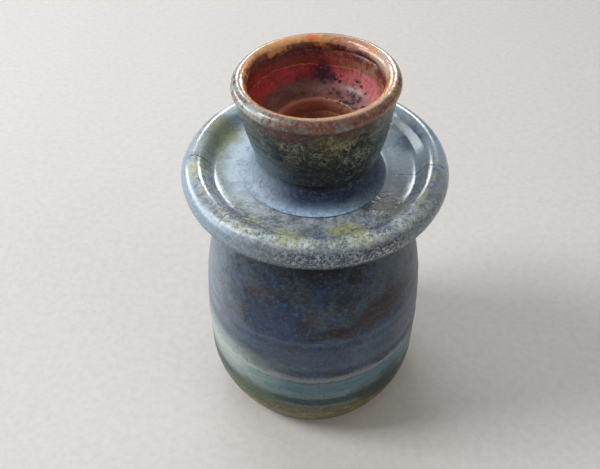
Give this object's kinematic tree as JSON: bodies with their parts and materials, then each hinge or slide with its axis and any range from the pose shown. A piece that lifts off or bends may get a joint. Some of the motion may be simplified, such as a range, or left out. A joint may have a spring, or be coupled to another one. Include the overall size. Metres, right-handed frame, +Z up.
{
  "type": "ceramic bud vase",
  "caption": "Squat stoneware bud vase with a dished flange, a flared neck with a rolled lip and a mottled blue, green and copper-red glaze.",
  "frame": {"origin": "centre of the flat resting face of the foot ring, at the bottom centre of the box", "axes": "+Z up along the vase's axis of rotation; -Y faces the reference view; +X to its right"},
  "size_m": [0.08, 0.08, 0.1267],
  "materials": {
    "bare_stoneware": "matte, bare fired clay with a thin iron wash",
    "celadon_glaze": "satin green-ochre glaze",
    "slate_glaze": "satin slate-blue glaze broken with brown and mauve",
    "powder_blue_glaze": "glossy powder-blue glaze mottled with yellow-green",
    "green_black_glaze": "semi-gloss green-black glaze with an olive web",
    "copper_red_glaze": "glossy copper-red and ochre glaze breaking cream on the crest"
  },
  "bodies": {
    "root": {"foot_ring": "bare_stoneware", "base_disc": "celadon_glaze", "body_wall": "slate_glaze", "shoulder": "slate_glaze", "flange": "powder_blue_glaze", "neck_coil": "powder_blue_glaze", "neck": "green_black_glaze", "lip_coil": "copper_red_glaze"}
  },
  "joints": []
}
